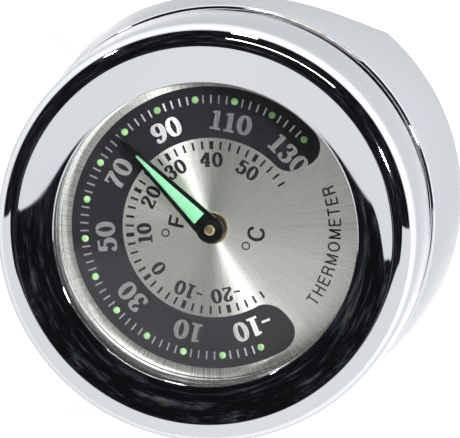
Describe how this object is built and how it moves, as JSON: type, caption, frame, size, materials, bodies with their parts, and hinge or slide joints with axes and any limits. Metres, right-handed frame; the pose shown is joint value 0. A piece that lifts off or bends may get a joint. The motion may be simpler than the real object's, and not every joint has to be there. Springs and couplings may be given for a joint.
{
  "type": "dial thermometer",
  "caption": "Round dial thermometer in a chromed housing with a bull-nosed bezel, a bimetal pointer and a screwed two-part clamp for a round bar.",
  "frame": {"origin": "centre of the bar clamp, on the bar's axis and under the middle of the dial", "axes": "+Z is the normal of the dial, from the bar towards the reader; +X runs along the bar"},
  "size_m": [0.039, 0.0398, 0.0477],
  "materials": {
    "chrome": "mirror polished chrome plate",
    "black_rubber": "matt",
    "glass": "clear polished",
    "can_steel": "satin",
    "grey_foam": "matt foam",
    "dial": "sunray brushed, printed",
    "silver_ring": "satin turned",
    "black_plastic": "matt",
    "brass": "turned",
    "screw_steel": "plain",
    "bimetal": "rolled strip",
    "pointer_black": "semi-gloss black",
    "lume": "matt luminous paint"
  },
  "bodies": {
    "case": {"bezel_ring": "chrome", "bezel_seal": "black_rubber", "lens": "glass", "lens_gasket": "black_rubber", "housing": "chrome", "instrument_can": "can_steel", "back_pad": "grey_foam", "can_ring": "black_rubber", "dial_plate": "dial", "rehaut_ring": "silver_ring", "dial_spacer": "black_plastic", "movement_plate": "brass", "movement_pillars": "brass", "movement_screws": "screw_steel", "front_bush": "brass", "rear_bush": "brass", "bimetal_coil": "bimetal", "coil_anchor": "brass", "front_bar_liner": "black_rubber"},
    "pointer_set": {"pointer": "pointer_black", "pointer_lume": "lume", "pointer_collet": "brass", "spindle": "brass", "coil_collet": "brass"},
    "rear_clamp": {"clamp_cap": "chrome", "rear_bar_liner": "black_rubber", "spring_washers": "screw_steel"},
    "left_screw": {"clamp_screw_left": "screw_steel"},
    "right_screw": {"clamp_screw_right": "screw_steel"}
  },
  "joints": [
    {"name": "pointer_turn", "type": "hinge", "parent": "case", "child": "pointer_set", "pos_m": [0, 0, 0.0261], "axis": [0, 0, 1], "range_deg": [-91.2, 156.6], "stiffness_Nm_per_rad": 0.00001, "deforming": ["bimetal_coil"]},
    {"name": "clamp_release", "type": "slide", "parent": "case", "child": "rear_clamp", "axis": [0, 0, -1], "range_m": [0, 0.00135]},
    {"name": "left_screw_turn", "type": "hinge", "parent": "rear_clamp", "child": "left_screw", "pos_m": [0, 0.0165, 0], "axis": [0, 0, -1], "range_deg": [0, 1080]},
    {"name": "right_screw_turn", "type": "hinge", "parent": "rear_clamp", "child": "right_screw", "pos_m": [0, -0.0165, 0], "axis": [0, 0, -1], "range_deg": [0, 1080]}
  ],
  "couplings": [
    {"joint": "left_screw_turn", "follows": "clamp_release", "rad_per_m": 13963},
    {"joint": "right_screw_turn", "follows": "clamp_release", "rad_per_m": 13963}
  ]
}
